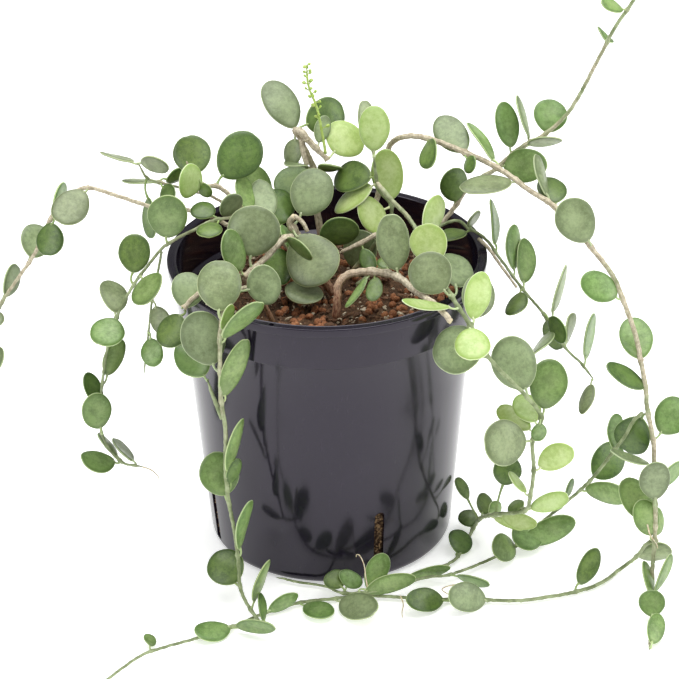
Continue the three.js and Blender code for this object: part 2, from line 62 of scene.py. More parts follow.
# The pot's sizes, the outermost from the frame.
_, pot_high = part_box("pot")
_, soil_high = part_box("soil")
RIM_RADIUS = pot_high.x / MM
POT_HEIGHT = pot_high.z / MM
SOIL_TOP = soil_high.z / MM
WALL = 1.6
LIP_HEIGHT = 5.5
LIP_WIDTH = 6
BAND_HEIGHT = 30
BAND_RADIUS = RIM_RADIUS - 4.8
BODY_TOP_RADIUS = BAND_RADIUS - 3.2
BODY_FOOT_RADIUS = 78
FOOT_CORNER = 6
FLOOR_THICKNESS = 2.4
POT_SIDES = 160
SHARP_EDGE = 38
SLOT_ANGLES = [-68, 22, 112, 202]
SLOT_WIDTH = 6.5
SLOT_TOP = 52
HANGER_ANGLES = [10, 130, 250]
HANGER_HOLE_RADIUS = 1.6
HANGER_INSET = 2.4

# The mean surface of the soil, which its grains lie on.
SOIL_BED = SOIL_TOP - 2.5

# The plant's sizes.
GAP = 0.3
PETIOLE_LENGTH = 4
PETIOLE_WIDTH = 1.5
LEAF_THICKNESS = 2.2
SURFACE_CLEARANCE = 1.5
SETTLE_PASSES = 6
BROAD_LEAF = 23
STEM_RIDGES = 7
BUDS = 22
GOLDEN_TURN = 2.4
# The way to the light, which leaves face.
LIGHT = np.array([0, -0.88, 0.48])

# The stems. Radius, route and leaves are as the CAD model has them. How woody a stem is at its root and at
# its tip goes from 0, a green shoot, to 1, tan bark, and slenderness is its thickness as a share of its CAD
# tube's. A route is the line of a stem's middle from its root to its tip.
# A leaf is [node, reach, breadth, turn, tone, petiole]: node is its place on the route, in route points
# from the root, reach goes from the node to the leaf's tip, turn is how many degrees the face is turned
# away from the light, about the midrib, and petiole is the length of its stalk where that isn't usual.
Vine = namedtuple("Vine", "radius root_wood tip_wood slenderness route leaves")
VINES = {
    "left_high": Vine(1.7, 1, 0.5, 0.85, [
        [-12, 12, 168], [-69, 8, 217], [-106, 8, 225], [-128, 8, 233], [-151, 6, 240], [-170, 2, 223],
        [-182, 0, 199], [-196, -3, 179], [-206, -5, 164], [-215, -8, 142], [-220, -10, 120],
    ], [
        [5.1, [9, 24, 12], 20, 77, "mid"], [3.85, [-17, -24, -12], 22, 8, "old", 3],
        [6.3, [6, 24, 14], 21, 20, "old"], [5, [-3, -13, -21], 19, 20, "deep"],
        [7.8, [9, 20, 15], 18, 62, "old"], [8, [-8, -21, -6], 18, 30, "old"], [9, [-9, 24, 3], 18, 30, "old"],
        [9.2, [10, -22, -5], 19, 20, "old"], [10, [-4, -14, -22], 18, 10, "mid"],
    ]),
    "left_back": Vine(1.4, 0.9, 0.4, 0.75, [
        [-20, 30, 168], [-64, 36, 213], [-86, 34, 224], [-104, 32, 231], [-112, 30, 235], [-117, 28, 246],
    ], [
        [5, [-24, 15, 1], 18, 80, "old"], [5, [19, -9, 3], 18, 58, "old", 2],
        [3, [-24, 15, -5], 18, 78, "old"], [3, [18, 12, 1], 13, 55, "deep"],
        [3, [8, -17, -6], 14, 30, "deep"], [4, [2, -17, -34], 16, 55, "deep", 12],
    ]),
    "left_drop": Vine(1.6, 0.5, 0.1, 0.68, [
        [-34, 27, 168], [-44, 1, 218], [-67, -8, 224], [-84, -14, 219], [-99, -18, 212], [-109, -22, 202],
        [-122, -26, 185], [-133, -28, 162], [-140, -30, 135], [-144, -33, 103], [-143, -35, 85],
        [-133, -37, 69], [-119, -38, 65],
    ], [
        [3.9, [2, -2, 34], 25, 0, "mid", 2], [2, [-15, 11, 5], 17, 40, "deep"],
        [2, [-8, -20, -2], 16, 30, "deep"], [5.8, [1, 16, 27], 20, 5, "deep", 7],
        [5.5, [9, -22, -5], 25, 15, "mid", 1], [6.8, [-5, 27, 12], 19, 32, "old"],
        [6.8, [-10, -19, -9], 22, 15, "mid", 1], [8.4, [13, 14, 24], 16, 45, "mid", 6],
        [9, [-8, 19, 18], 15, 48, "deep"], [9.8, [-4, -4, 31], 20, 20, "mid"],
        [11, [-14, 15, 12], 16, 80, "old"], [11, [-23, -15, 10], 18, 42, "mid"],
        [11.7, [-14, 18, 10], 16, 74, "old"],
    ]),
    "left_thread": Vine(1, 0.3, 0.1, 0.8, [
        [-102, -17, 207], [-105, -19, 192], [-109, -21, 175], [-112, -23, 154], [-116, -25, 125],
    ], [
        [2, [9, -13, -17], 14, 20, "old"], [3, [4, -14, -17], 15, 15, "mid"],
    ]),
    "left_upper": Vine(1.9, 1, 0.7, 0.9, [
        [-6, 22, 168], [-41, 20, 208], [-54, 18, 221], [-62, 16, 231], [-68, 15, 236], [-76, 14, 237],
        [-82, 12, 247], [-86, 11, 255],
    ], [
        [4, [25, 20, 25], 28, 10, "deep"], [5, [-14, -14, 12], 22, 0, "lime", 2],
        [5.6, [8, -4, -11], 10, 40, "deep"], [5.5, [-7, 18, 22], 24, 5, "deep", 2],
        [2, [17, 32, 6], 28, 20, "mid"],
    ]),
    "left_middle": Vine(1.8, 1, 0.8, 1, [
        [0, 8, 168], [-24, 12, 196], [-35, 10, 212], [-48, 8, 218], [-55, 6, 219],
    ], [
        [2, [-7, 22, 20], 17, 15, "old"], [1.6, [3, 24, 17], 20, 25, "deep"],
        [3, [-4, 22, 19], 16, 45, "mid"], [4, [-7, -13, 20], 17, 10, "old"],
    ]),
    "left_branch": Vine(2.2, 1, 1, 1, [
        [-22, 1, 207], [-28, -10, 210], [-38, -24, 205], [-51, -36, 199],
    ], [
        [3, [-9.8, 1, 31], 19, 40, "mid"], [2.6, [3, 15, 36], 33, 5, "old", 5],
        [0.7, [17, -22, -2], 14, 62, "mid", 2],
    ]),
    "front_left": Vine(1.8, 0.75, 0, 0.85, [
        [-34, -38, 168], [-42, -48, 192], [-51, -62, 204], [-61, -78, 201], [-64, -91, 188], [-65, -93, 164],
        [-65, -91, 142], [-63, -91, 121], [-64, -91, 98], [-63, -92, 75], [-60, -94, 54], [-58, -98, 36],
        [-57, -103, 17], [-53, -112, 10], [-42, -131, 4],
    ], [
        [3.5, [-1, 21, 29], 27, 5, "old", 4], [2.3, [26, 3, 6], 25, 10, "old"],
        [4.2, [25, -9, 32], 20, 62, "mid"], [4, [7, -2, 22], 9, 50, "lime"], [5, [-15, 9, 36], 27, 5, "old"],
        [6, [16, 1, 43], 17, 42, "mid"], [9.2, [-9, 13, 29], 25, 5, "mid"], [8.4, [11, 5, 39], 16, 68, "mid"],
        [8.8, [7, 5, 20], 12, 50, "deep"], [11, [9, 7, 36], 17, 70, "mid"],
        [12, [-15, 22, 11], 24, 5, "deep", 2], [13.3, [12, 6, 33], 16, 72, "mid", 6],
        [14, [-2, 18, 14], 9, 60, "deep"],
    ]),
    "front_shoot": Vine(1.4, 0.2, 0.1, 1, [
        [-65, -87, 128], [-69, -87, 140], [-73, -86, 154],
    ], [
        [2, [-17, 26, 13], 21, 10, "mid"],
    ]),
    "front_stub": Vine(2, 1, 1, 1, [
        [-40, -14, 168], [-54, -34, 198], [-70, -54, 202], [-80, -64, 200], [-87, -68, 194],
    ], [
        [4, [5, 16, 16], 21, 10, "old", 0.5], [4, [-13, -12, -19], 21, 25, "deep"],
    ]),
    "trunk_top": Vine(2.4, 1, 1, 1, [
        [0, 30, 168], [-7, 44, 211], [-8, 50, 231], [-15, 52, 248], [-18, 52, 257],
    ], [
        [3.6, [-19, 24, 26], 24, 28, "old", 3], [4, [30, 20, 4], 25, 10, "deep"],
        [3.7, [-6, -5, -20], 14, 30, "old"], [1.9, [16.5, -8, 6], 18, 78, "mid"],
        [1, [-21, 25, 10], 27, 15, "mid"], [2, [-17.6, -8, 6], 18, 78, "old"],
    ]),
    "top_arm": Vine(2.2, 1, 1, 1, [
        [-13, 47, 254], [-6, 45, 247], [1, 43, 240],
    ], [
        [2, [18, 18, 15], 27, 0, "lime", 3], [1, [7, 14, 16], 11, 20, "old"],
    ]),
    "flower_spike": Vine(0.9, 0, 0, 1, [
        [0, 41, 245], [-2, 43, 258], [-5, 46, 274], [-10, 49, 288], [-11, 51, 301],
    ], []),
    "trunk_middle": Vine(2.8, 1, 1, 1, [
        [4, -2, 168], [-10, 8, 186], [-17, 10, 202], [-23, 12, 211], [-20, 12, 216],
    ], [
        [2.7, [20, 25, 27], 27, 0, "old", 6], [2.5, [20, -30, -22], 34, 0, "old"],
        [1, [-19, 3, 24], 17, 62, "mid"], [0.4, [-20, -23, -2], 26, 40, "old"],
        [1.6, [34, -4, 16], 23, 40, "deep", 8], [1, [-30, -14, 3], 24, 10, "deep", 9],
    ]),
    "lime_stem": Vine(1.6, 0.45, 0.1, 0.85, [
        [14, 24, 168], [36, 30, 195], [41, 32, 212], [33, 30, 225], [30, 30, 247],
    ], [
        [2, [-4, 15, 33], 21, 10, "lime"], [4, [1, 17, 28], 20, 5, "lime"],
        [4, [-5.4, 26, 28], 13, 20, "old"], [2, [-20, -14, -3], 26, 0, "lime", 3],
        [3.2, [-27, 4, -20], 22, 55, "lime"], [3.4, [-26, 20, -9], 22, 20, "deep"],
        [1, [-24, 7, -24], 25, 15, "old", 7],
    ]),
    "right_long": Vine(1.7, 0.45, 0.05, 0.82, [
        [32, 24, 232], [41, 5, 229], [53, -15, 223], [65, -45, 209], [75, -66, 199], [86, -78, 185],
        [96, -87, 169], [109, -85, 152], [121, -80, 136], [130, -76, 119], [125, -78, 104], [126, -80, 84],
        [124, -82, 67], [121, -79, 54], [104, -62, 41], [96, -38, 23], [92, -22, 5], [81, -51, 3],
        [69, -64, 3], [43, -78, 3], [25, -89, 3],
    ], [
        [2.4, [14, 26, 16], 19, 45, "lime"], [3.2, [-9, 16, 25], 23, 0, "lime"],
        [4.4, [-35, -32, 22], 10, 55, "lime", 9], [4, [-21, 12, 21], 27, 5, "old"],
        [4, [4, 36, 10], 24, 20, "old", 8], [5, [9, 22, 25], 17, 15, "lime"],
        [5, [9, 30, 18], 22, 15, "old", 6], [5, [1, -27, -9], 22, 0, "lime", 2],
        [6, [-32, 11, 3], 31, 10, "old", 2], [8, [-14, 14, 34], 28, 5, "old", 3],
        [9, [7, 17, 32], 24, 5, "mid"], [9.4, [-11, 24, 9], 17, 10, "lime"],
        [9.7, [-22, 19, 8], 14, 20, "lime"], [9, [-3, -15, -8], 10, 20, "mid"],
        [10, [-31, -17, 8], 29, 0, "old", 2], [11, [23, -6, 19], 17, 10, "lime"],
        [12, [-14, -4, 19], 9, 55, "lime"], [14, [10, 18, 32], 20, 20, "deep", 19],
        [13, [27, -2, 12], 13, 20, "lime"], [13, [-8, 19, -7], 12, 20, "mid"],
        [14, [26, -5, -5], 12, 30, "lime"], [14.4, [22, -6, -7], 9, 50, "lime"],
        [15, [5, 21, 5], 13, 20, "deep"], [14.6, [11, 16, -2], 11, 20, "mid"],
        [15.2, [-14, 15, 23], 11, 50, "deep", 15], [16, [-5, 15, 5], 13, 10, "deep", 2],
        [17, [3, 22, 4], 17, 15, "deep", 2], [19, [32, 2, 6], 10, 40, "mid"],
    ]),
    "right_arch": Vine(2.6, 1, 1, 1, [
        [5, -32, 168], [6, -31, 178], [7, -26, 187], [14, -20, 191], [30, -25, 195], [43, -40, 199],
        [53, -58, 199], [66, -77, 198], [74, -88, 193],
    ], [
        [5, [-4, 17, 35], 21, 5, "old"], [4, [-2, -20, -10], 11, 20, "deep"],
        [3.8, [-16, -15, -17], 8, 60, "mid"], [4.5, [-2, 16, 3], 10, 10, "deep"],
    ]),
    "inner_stub": Vine(1.6, 1, 1, 1, [
        [31, 3, 207], [21, 3, 201], [9, 1, 196],
    ], [
        [1, [7, -13, -14], 11, 20, "deep"],
    ]),
    "right_back": Vine(1.8, 0.75, 0.3, 0.85, [
        [24, 30, 168], [71, 44, 192], [91, 50, 217], [107, 50, 228], [118, 50, 239], [129, 50, 247],
        [138, 50, 252], [154, 50, 269], [170, 50, 302], [180, 50, 324], [191, 50, 342], [197, 50, 356],
    ], [
        [1.5, [-3, -4, 27], 19, 15, "deep", 2], [4, [-6, 14, 30], 17, 25, "mid"],
        [5, [-8, 14, 26], 16, 74, "old", 2], [3.3, [28, -18, 7], 22, 0, "mid", 2],
        [4.7, [22, -12, 9], 13, 66, "old", 2], [6.05, [6, 16, 16], 22, 5, "mid", 1],
        [8.5, [-1, 21, -2], 14, 50, "mid"], [9.6, [-17, -11, 9], 12, 40, "mid"],
        [10.6, [-6, 21, -4], 13, 30, "mid"], [11, [6, 19, 3], 12, 20, "lime"],
    ]),
    "right_sweep": Vine(1.8, 1, 0.35, 1, [
        [20, 36, 168], [37, 62, 222], [42, 52, 247], [59, 32, 260], [87, 20, 254], [108, 10, 247],
        [126, 0, 237], [141, -10, 230], [160, -25, 213], [175, -36, 196], [181, -42, 183], [188, -50, 165],
        [192, -57, 148], [195, -63, 132], [196, -68, 120], [200, -72, 100], [201, -76, 84], [202, -82, 59],
        [202, -86, 35], [201, -90, 14], [201, -96, 4], [197, -130, 3], [193, -158, 3],
    ], [
        [3.2, [1, -25, -8], 17, 50, "deep", 2], [4, [-16, 28, 12], 20, 5, "old", 1],
        [4.9, [-17, 26, 19], 18, 68, "mid", 5], [4, [4, -14, -6], 12, 45, "deep"],
        [5.5, [-35, -13, 0], 22, 55, "old", 3], [7, [-2, 29, 7], 19, 10, "deep"],
        [6.7, [-5, 26, 20], 16, 64, "old"], [8.1, [-17, 4, 29.5], 25, 5, "old", 3],
        [10, [-26, -1, 15], 19, 15, "mid"], [12, [-4, 24, 17], 21, 5, "mid", 0.5],
        [13, [-25, -2, 17], 16, 45, "deep", 0.5], [15, [19, 18, 18], 23, 10, "mid"],
        [14.2, [-12, 11, -33], 24, 15, "deep"], [16, [-28, -6, 14], 16, 74, "old"],
        [17, [-2, -2, 32], 20, 5, "old"], [16.6, [19, 16, 8], 16, 50, "mid"],
        [17.6, [-19, 17, 25], 20, 15, "mid"], [18, [-10, 5, 27], 17, 10, "mid"],
        [18, [4, 20, 12], 14, 40, "mid"], [20.2, [12, 12, 24], 13, 60, "mid", 3],
        [20.4, [-3, 24, 16], 13, 58, "mid"], [20.9, [1, 11, 15], 17, 5, "mid", 2],
        [22, [8, 23, 10], 13, 20, "mid"],
    ]),
    "sweep_branch": Vine(1.4, 0.2, 0, 0.8, [
        [193, -70, 118], [188, -69, 112], [183, -66, 99], [176, -60, 83], [164, -48, 56], [147, -34, 28],
        [135, -26, 11], [119, -41, 4], [99, -57, 3], [75, -77, 6], [59, -83, 8], [33, -96, 8], [8, -98, 7],
        [-4, -84, 3], [-20, -79, 3], [-35, -73, 3],
    ], [
        [3, [6, 22, 16], 14, 38, "mid"], [4, [21, 21, 13], 22, 10, "deep"],
        [4.3, [29, -19, 6], 18, 38, "mid", 3], [5, [10, 20, 9], 8, 55, "deep", 8],
        [7, [38, 6, 15], 18, 20, "mid"], [6, [-17, -22, -2], 22, 5, "mid", 2],
        [7, [-17, -22, 4], 19, 15, "mid", 2], [9, [24, -16, 3], 12, 58, "mid", 5],
        [11.6, [36, 4, 8], 14, 30, "mid"], [12, [-9, 10, 10], 16, 25, "deep"],
        [12, [6, 11, 9], 17, 15, "mid"],
    ]),
    "floor_run": Vine(1.4, 0.2, 0, 0.85, [
        [200, -83, 33], [197, -79, 27], [193, -70, 13], [183, -69, 3], [169, -85, 3], [153, -94, 3],
        [137, -99, 3], [117, -103, 3], [97, -102, 3], [73, -101, 3], [46, -98, 3], [21, -95, 3], [2, -98, 3],
        [-20, -102, 3], [-43, -114, 3], [-62, -128, 3], [-84, -140, 3], [-105, -150, 3], [-117, -158, 3],
        [-134, -180, 3], [-145, -198, 3], [-152, -217, 3],
    ], [
        [2, [22, -2, 6], 19, 48, "old", 1], [5, [14, 14, 23], 14, 20, "deep", 5],
        [8, [-25, -14, 4], 19, 10, "old", 1], [9, [-27, -14, 4], 16, 20, "deep"],
        [12, [25, -27, 3], 21, -35, "old", 5], [11, [13, 14, 22], 15, 15, "mid"],
        [13, [20, -18, 2], 17, -50, "mid"], [14, [22, 8, 5], 12, 40, "mid"],
        [15, [-22, -12, 3], 17, 45, "mid", 1], [15, [27, -16, 4], 16, 50, "mid"],
        [17.4, [-2, 14, 3], 9, 40, "mid"], [20, [10, -17, 5], 11, 30, "mid"],
        [21, [-1, -22, 3], 12, 30, "mid"],
    ]),
    "right_pale": Vine(1.1, 1, 1, 1, [
        [95, 9, 200], [101, 3, 196], [108, -4, 188], [118, -12, 176],
    ], []),
    "right_mid": Vine(1.4, 0.35, 0.1, 0.78, [
        [18, 10, 168], [74, 22, 204], [90, 18, 202], [100, 11, 198], [108, 6, 188], [122, -4, 171],
        [136, -12, 156], [148, -20, 138], [158, -25, 129], [166, -28, 119],
    ], [
        [3.7, [-2, 19, 27], 18, 73, "deep"], [4.6, [3, 24, 24], 17, 52, "mid"],
        [5, [4, 28, 21], 18, 42, "mid"], [5, [-8, -26, -5], 15, 42, "deep"],
        [6.2, [12, 24, 28], 18, 74, "old", 6], [6, [12, -23, -5], 15, 48, "deep"],
        [6, [10, 2, -26], 13, 20, "deep"], [7, [9, 24, 9], 16, 64, "old"],
        [6.4, [-14, -26, -4], 16, 74, "old"], [8.2, [9, 28, 22], 17, 66, "mid", 5],
        [9, [-8, -20, -14], 12, 52, "old"], [2, [3, -12, 18], 11, 55, "old"],
        [2, [-19, -14, 0], 15, 55, "deep"],
    ]),
}
# A stem at least this woody at its tip ends in a pale cut, and not in a growing tip.
CUT_WOODINESS = 0.8

# Short bare branches that end in a cut: (radius, route).
STUBS = [
    (2.5, [[-19, 52, 256], [-15, 48, 257], [-11, 46, 252]]),
    (1.9, [[-15, 48, 252], [-14, 46, 244], [-12, 44, 236]]),
    (1.5, [[-20, 12, 216], [-15, 9, 213], [-12, 6, 208]]),
    (1.4, [[-74, -57, 202], [-72, -62, 199], [-73, -66, 192]]),
]

# Tendrils: thin pale curls, as routes.
TENDRILS = [
    [[23, -97, 6], [21.5, -98, 17], [20.4, -97, 27], [18, -96, 33], [16, -95.5, 34], [15.5, -95, 32]],
    [[43, -99, 5], [44.5, -106, 3.4], [43.5, -113, 2.2], [44, -119, 1.6]],
    [[79, -90, 7], [73, -93, 8], [69, -95.5, 7], [73, -98, 5], [79, -101, 3]],
    [[197, -86, 47], [199, -87, 40], [203, -88, 34], [204, -87, 30]],
    [[-119, -38, 65], [-114, -38, 63], [-110, -38, 59], [-109, -38, 56]],
]


def unit(vector):
    """The vector at length 1."""
    return vector / np.linalg.norm(vector)


def new_object(name, data):
    """An object of the data, in the scene."""
    made = bpy.data.objects.new(name, data)
    bpy.context.scene.collection.objects.link(made)
    return made


def route_point(route, place):
    """A point of the smooth curve through a route, at a place counted in route points."""
    last = len(route) - 1
    span = min(int(place), last - 1)
    t = place - span
    points = np.array(route, float)
    before = points[span - 1] if span > 0 else 2 * points[0] - points[1]
    after = points[span + 2] if span + 2 <= last else 2 * points[last] - points[last - 1]
    start, end = points[span], points[span + 1]
    leave, arrive = (end - before) / 2, (after - start) / 2
    return (
        (2 * t**3 - 3 * t**2 + 1) * start
        + (t**3 - 2 * t**2 + t) * leave
        + (3 * t**2 - 2 * t**3) * end
        + (t**3 - t**2) * arrive
    )


def route_tangent(route, place):
    """The curve's direction at a place."""
    small = 1e-3
    low, high = max(place - small, 0), min(place + small, len(route) - 1)
    return unit(route_point(route, high) - route_point(route, low))


def turned(vector, axis, degrees):
    """The vector turned about an axis at right angles to it."""
    angle = math.radians(degrees)
    return vector * math.cos(angle) + np.cross(axis, vector) * math.sin(angle)


def leaf_frame(vine, leaf):
    """A leaf's place on its stem, its blade's base and tip, and the ways that its face and side point."""
    node, reach, breadth, turn = leaf[:4]
    petiole = leaf[5] if len(leaf) > 5 else PETIOLE_LENGTH
    at = route_point(vine.route, node)
    along = route_tangent(vine.route, node)
    reach = np.array(reach, float)
    out = unit(reach - along * np.dot(reach, along))
    stands_off = breadth >= BROAD_LEAF
    start = at + out * (vine.radius + GAP + PETIOLE_WIDTH / 2 if stands_off else 0)
    tip = at + reach
    for _ in range(SETTLE_PASSES):
        axis = unit(tip - start)
        base = start + axis * petiole
        face = turned(unit(LIGHT - axis * np.dot(LIGHT, axis)), axis, turn)
        side = np.cross(face, axis)
        drop = abs(side[2]) * breadth
        lowest = min((base[2] + tip[2]) / 2 - drop / 2, tip[2] - drop / 8)
        lift = SURFACE_CLEARANCE + LEAF_THICKNESS / 2 - lowest
        if lift <= 0:
            break
        tip[2] += lift * 1.5
    return SimpleNamespace(stem=at, out=out, base=base, tip=tip, face=face, side=side, breadth=breadth)


class Skin:
    """The vertices, faces and per-vertex values of one mesh."""

    def __init__(self, *values):
        self.points = []
        self.faces = []
        self.values = {name: [] for name in values}
        self.count = 0

    def add(self, points, faces, **values):
        """Adds points in mm, faces that index them, and one row of values a point."""
        points = np.asarray(points, float)
        self.points.append(points)
        self.faces.extend([[i + self.count for i in face] for face in faces])
        for name in self.values:
            self.values[name].append(np.broadcast_to(values[name], (len(points), 3)))
        self.count += len(points)

    def build(self, name, material, slot, replaced=()):
        """Makes the object, smooth, on the body, with the CAD nodes it replaces. The slot is not used."""
        mesh = bpy.data.meshes.new(name)
        points = np.concatenate(self.points) * MM
        mesh.from_pydata(points.tolist(), [], self.faces)
        for key, rows in self.values.items():
            layer = mesh.attributes.new(key, "FLOAT_VECTOR", "POINT")
            layer.data.foreach_set("vector", np.concatenate(rows).astype(np.float32).ravel())
        mesh.shade_smooth()
        mesh.materials.append(material)
        made = new_object(name, mesh)
        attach(made, "root")
        if replaced:
            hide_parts(*replaced)
        return made


# Materials


def tint(code):
    """A linear colour from an sRGB hex code."""
    channels = [int(code[i : i + 2], 16) / 255 for i in (1, 3, 5)]
    return (*[c / 12.92 if c <= 0.04045 else ((c + 0.055) / 1.055) ** 2.4 for c in channels], 1)


class Graph:
    """A material's nodes around one Principled shader."""

    def __init__(self, name):
        self.material = bpy.data.materials.new(name)
        self.material.use_nodes = True
        self.tree = self.material.node_tree
        self.tree.nodes.clear()
        self.shader = self.node("ShaderNodeBsdfPrincipled")
        output = self.node("ShaderNodeOutputMaterial")
        self.tree.links.new(self.shader.outputs["BSDF"], output.inputs["Surface"])
        self.place = self.node("ShaderNodeTexCoord").outputs["Object"]

    def node(self, kind, inputs=(), **settings):
        """A node with its settings, and its inputs by name or number, linked or set."""
        made = self.tree.nodes.new(kind)
        for key, value in settings.items():
            setattr(made, key, value)
        for key, value in dict(inputs).items():
            self.put(made.inputs[key], value)
        return made

    def put(self, socket, value):
        """Links a socket to another, or sets it to a number or colour."""
        if isinstance(value, bpy.types.NodeSocket):
            self.tree.links.new(value, socket)
        else:
            socket.default_value = value

    def set(self, **sockets):
        """Sets shader sockets by name, with _ for a space."""
        for key, value in sockets.items():
            self.put(self.shader.inputs[key.replace("_", " ")], value)

    def math(self, operation, *values):
        return self.node("ShaderNodeMath", enumerate(values), operation=operation).outputs[0]

    def plus(self, first, second):
        return self.math("ADD", first, second)

    def times(self, first, second):
        return self.math("MULTIPLY", first, second)

    def mix(self, share, first, second):
        inputs = {"Factor": share, 6: first, 7: second}
        return self.node("ShaderNodeMix", inputs, data_type="RGBA").outputs[2]

    def lay(self, under, over, cover, strength):
        """A colour with another laid over it, where cover says, at a strength."""
        return self.mix(self.times(cover, strength), under, over)

    def noise(self, per_metre, detail=3.0, roughness=0.5, place=None):
        inputs = {"Vector": place or self.place, "Scale": per_metre, "Detail": detail, "Roughness": roughness}
        return self.node("ShaderNodeTexNoise", inputs).outputs["Fac"]

    def cells(self, per_metre, output="Distance"):
        inputs = {"Vector": self.place, "Scale": per_metre}
        return self.node("ShaderNodeTexVoronoi", inputs).outputs[output]

    def rise(self, value, low, high, start=0.0, end=1.0):
        """A smooth step of value from start at low to end at high."""
        inputs = {"Value": value, "From Min": low, "From Max": high, "To Min": start, "To Max": end}
        return self.node("ShaderNodeMapRange", inputs, interpolation_type="SMOOTHSTEP").outputs["Result"]

    def split(self, vector):
        """The three numbers of a vector."""
        return self.node("ShaderNodeSeparateXYZ", {"Vector": vector}).outputs

    def stored(self, name):
        """The three numbers of a per-vertex value."""
        return self.split(self.node("ShaderNodeAttribute", attribute_name=name).outputs["Vector"])

    def stretched(self, *scale):
        return self.node("ShaderNodeMapping", {"Vector": self.place, "Scale": scale}).outputs["Vector"]

    def bump(self, height, distance, strength=1.0):
        inputs = {"Height": height, "Distance": distance, "Strength": strength}
        self.set(Normal=self.node("ShaderNodeBump", inputs).outputs["Normal"])


# The leaves' tones: (dark, light, margin, share of light that passes through).
LEAF_TONES = {
    "old": ("#67754f", "#8f9f74", "#bac899", 0.08),
    "mid": ("#597639", "#83a25c", "#bccd95", 0.1),
    "deep": ("#3f5827", "#64803b", "#9cb271", 0.06),
    "lime": ("#93b058", "#b4ca82", "#dce8b9", 0.14),
}


def leaf_material(tone):
    """Thick waxy leaf: finely mottled, with a dusty bloom that is also a painted sheen, paler towards the
    middle, painted shade darkening it towards the edge, a pale margin and a paler base.
    """
    *codes, thinness = LEAF_TONES[tone]
    dark, light, margin = map(tint, codes)
    g = Graph("leaf_" + tone)
    along, _, rim = g.stored("blade")
    chance, under, stalk = g.stored("kind")
    mottle = g.plus(g.times(g.noise(70, 2), 0.45), g.times(g.noise(420, 4, 0.7), 0.55))
    colour = g.mix(g.rise(mottle, 0.34, 0.64), dark, light)
    speckle = g.rise(g.noise(1700, 2, 0.6), 0.54, 0.68)
    colour = g.lay(colour, margin, speckle, 0.14)
    # A whitish bloom, strongest in the middle of the blade: partly the real waxy film, partly a painted
    # sheen.
    bloom_and_sheen = g.rise(g.noise(130, 3), 0.35, 0.65, 0.04, 0.2)
    colour = g.lay(colour, margin, g.rise(rim, 0.95, 0.2), bloom_and_sheen)
    colour = g.lay(colour, margin, g.rise(along, 0.28, 0.0), 0.35)
    colour = g.lay(colour, margin, under, 0.3)
    # Painted shade: the blade is darker towards its edge, where its dome turns away from the light.
    colour = g.lay(colour, dark, g.rise(rim, 0.7, 0.95), 0.7)
    colour = g.lay(colour, margin, g.rise(rim, 0.965, 0.99), 0.85)
    scars = g.times(g.rise(g.cells(230), 0.09, 0.03), g.rise(g.noise(60, 2), 0.62, 0.68))
    colour = g.lay(colour, tint("#55543a"), scars, 0.5)
    colour = g.lay(colour, margin, stalk, 0.6)
    hue = g.rise(chance, 0, 1, 0.49, 0.506)
    value = g.rise(g.math("FRACT", g.times(chance, 7.3)), 0, 1, 0.88, 1.12)
    varied = g.node("ShaderNodeHueSaturation", {"Hue": hue, "Value": value, "Color": colour})
    g.set(
        Base_Color=varied.outputs["Color"],
        Roughness=g.rise(g.noise(400, 3), 0.3, 0.7, 0.28, 0.42),
        Subsurface_Weight=thinness,
        Subsurface_Radius=(0.5, 1.0, 0.25),
        Subsurface_Scale=0.0022,
        Specular_IOR_Level=0.5,
    )
    g.bump(g.plus(g.times(g.noise(1300, 3), 0.4), g.times(g.noise(260, 3), 0.6)), 0.0003, 0.3)
    return g.material


def stem_material():
    """Bark or green skin, by how woody the stem is there, with painted shade in the grooves between its
    ridges. It is redder and stringier near the soil.
    """
    g = Graph("stem")
    wood, turn, pale = g.stored("bark")
    x, y, z = g.split(g.place)
    rough = g.noise(420, 5, 0.65)
    bark = g.mix(g.rise(rough, 0.35, 0.65), tint("#aca087"), tint("#ddd3ba"))
    strings = g.noise(900, 4, 0.7, g.stretched(1, 1, 0.3))
    root = g.mix(g.rise(strings, 0.38, 0.62), tint("#7b4f3b"), tint("#c79f80"))
    inside = g.rise(g.math("SQRT", g.plus(g.math("POWER", x, 2), g.math("POWER", y, 2))), 0.09, 0.07)
    bark = g.lay(bark, root, inside, g.rise(z, 0.202, 0.18))
    green = g.mix(g.rise(g.noise(160, 3), 0.35, 0.65), tint("#7d8b60"), tint("#aab78c"))
    patch = g.plus(wood, g.times(g.math("SUBTRACT", g.noise(70, 3), 0.5), 0.9))
    colour = g.mix(g.rise(patch, 0.3, 0.7), green, bark)
    groove = g.rise(g.math("SINE", g.times(turn, 2 * math.pi * STEM_RIDGES)), -1, -0.2, 1, 0)
    # Painted shade in the grooves between the ridges.
    colour = g.lay(colour, tint("#6b6248"), groove, 0.22)
    colour = g.lay(colour, tint("#5c523d"), g.rise(g.noise(2100, 2), 0.6, 0.7), 0.25)
    colour = g.mix(pale, colour, tint("#e3d4b2"))
    g.set(Base_Color=colour, Roughness=g.rise(patch, 0.3, 0.7, 0.5, 0.8), Specular_IOR_Level=0.35)
    g.bump(g.plus(g.times(rough, 0.6), g.times(groove, -0.5)), 0.0004, 0.6)
    return g.material


def tissue_material(name, dark, light, roughness):
    """Thin green or cream tissue, lightly mottled."""
    g = Graph(name)
    colour = g.mix(g.rise(g.noise(600, 3), 0.3, 0.7), tint(dark), tint(light))
    g.set(Base_Color=colour, Roughness=roughness, Subsurface_Weight=0.1, Subsurface_Scale=0.001)
    g.bump(g.noise(1500, 3), 0.0002, 0.4)
    return g.material


